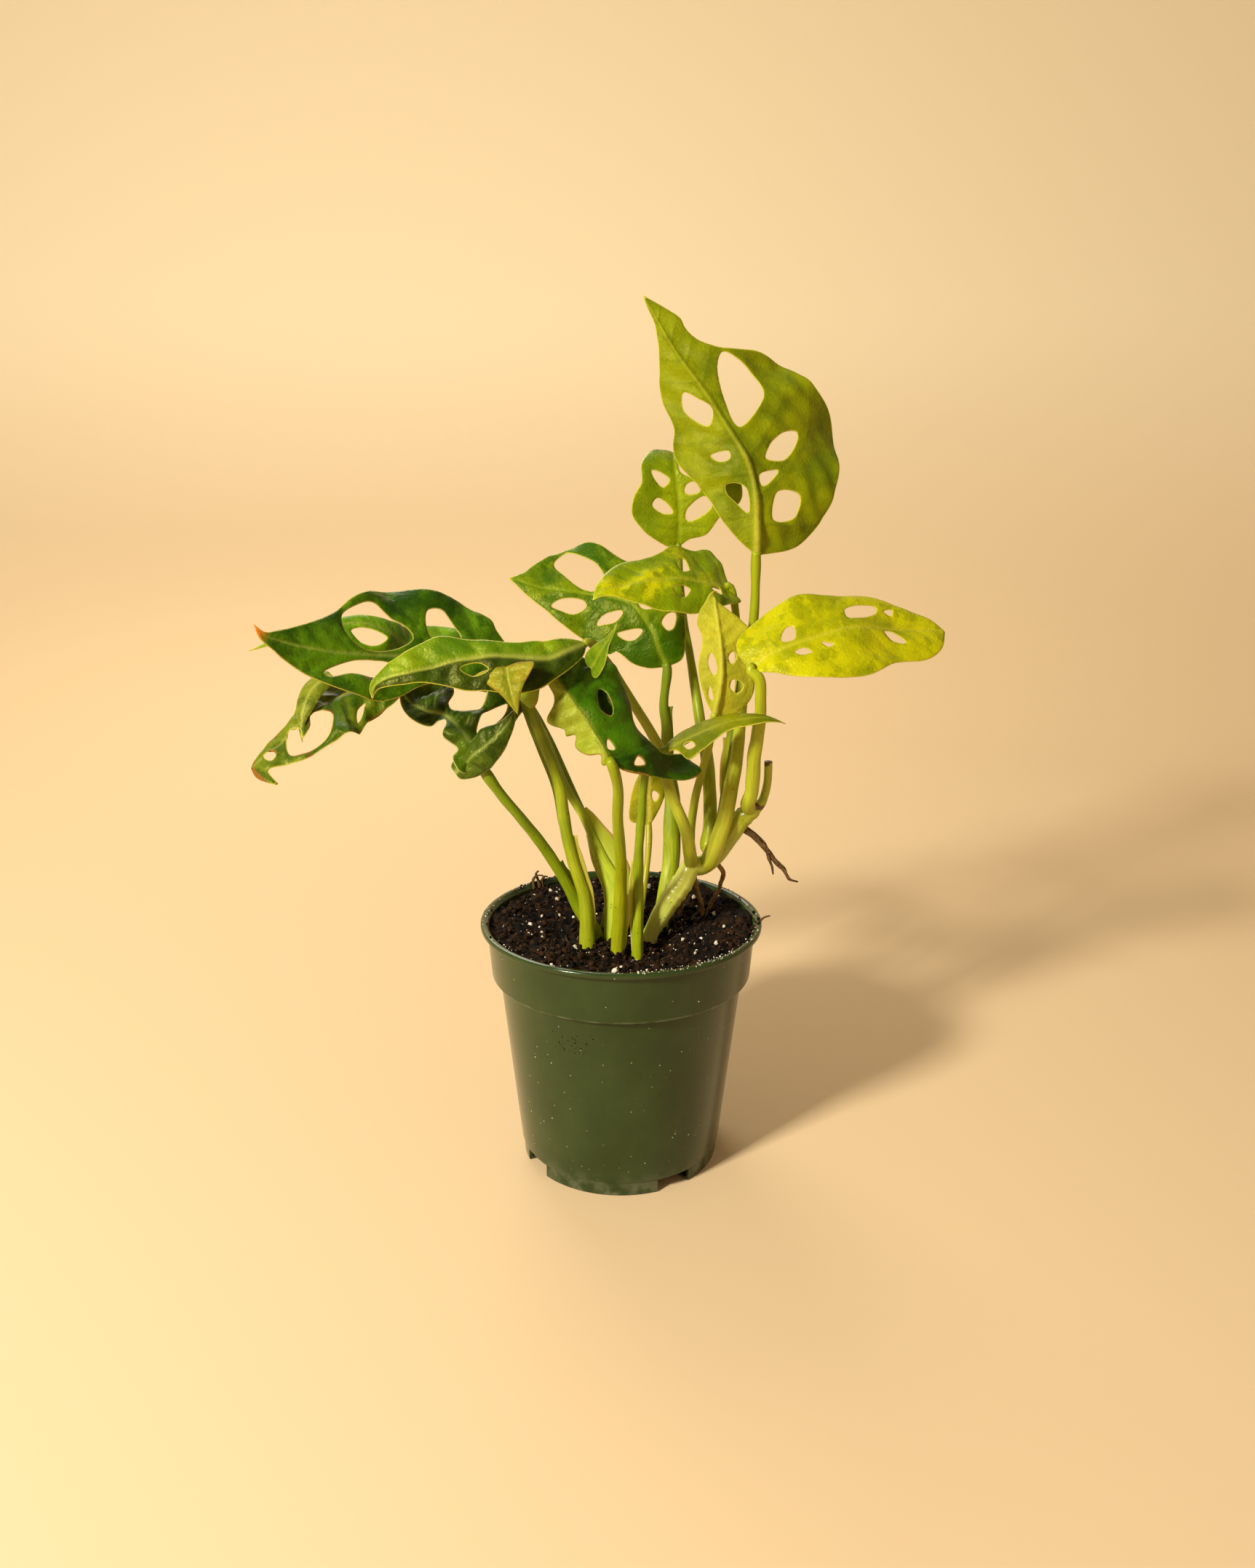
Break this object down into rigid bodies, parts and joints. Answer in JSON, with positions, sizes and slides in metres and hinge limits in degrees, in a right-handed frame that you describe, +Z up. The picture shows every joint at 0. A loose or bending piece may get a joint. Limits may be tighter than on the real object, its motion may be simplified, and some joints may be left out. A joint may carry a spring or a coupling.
{
  "type": "potted neon swiss cheese vine",
  "caption": "Young swiss cheese vine with neon green to dark, naturally holed leaves on long petioles, in a small round green nursery pot of soil.",
  "frame": {"origin": "centre of the pot's foot, on the surface it stands on", "axes": "+Z up along the pot's axis, -Y towards the front of the plant, +X to its right"},
  "size_m": [0.2382, 0.1108, 0.3061],
  "materials": {
    "pot": "smooth green moulded plastic with dust and specks of soil",
    "soil": "dark damp potting mix with white grains",
    "leaf_neon": "satin yellow green blade with pale veins",
    "leaf_mid": "satin mid green blade with pale veins",
    "leaf_dark": "satin deep green blade with pale veins",
    "stem": "smooth light green stalk with fine lengthwise lines",
    "root": "dry brown root"
  },
  "bodies": {
    "root": {"pot": "pot", "soil": "soil", "vine_stem": "stem", "crown_leaf": "leaf_neon", "crown_petiole": "stem", "back_leaf": "leaf_neon", "back_petiole": "stem", "mid_left_leaf": "leaf_mid", "mid_left_petiole": "stem", "centre_top_leaf": "leaf_neon", "centre_top_petiole": "stem", "right_leaf": "leaf_neon", "right_petiole": "stem", "centre_leaf": "leaf_neon", "centre_petiole": "stem", "sliver_leaf": "leaf_neon", "sliver_petiole": "stem", "dark_leaf": "leaf_dark", "dark_petiole": "stem", "long_leaf": "leaf_mid", "long_petiole": "stem", "far_left_leaf": "leaf_dark", "far_left_petiole": "stem", "under_leaf": "leaf_mid", "under_petiole": "stem", "torn_leaf": "leaf_dark", "torn_petiole": "stem", "crumpled_leaf": "leaf_dark", "crumpled_petiole": "stem", "low_leaf": "leaf_neon", "low_petiole": "stem", "root_forked": "root", "root_fork": "root", "root_right": "root", "root_middle": "root", "root_left": "root"}
  },
  "joints": []
}
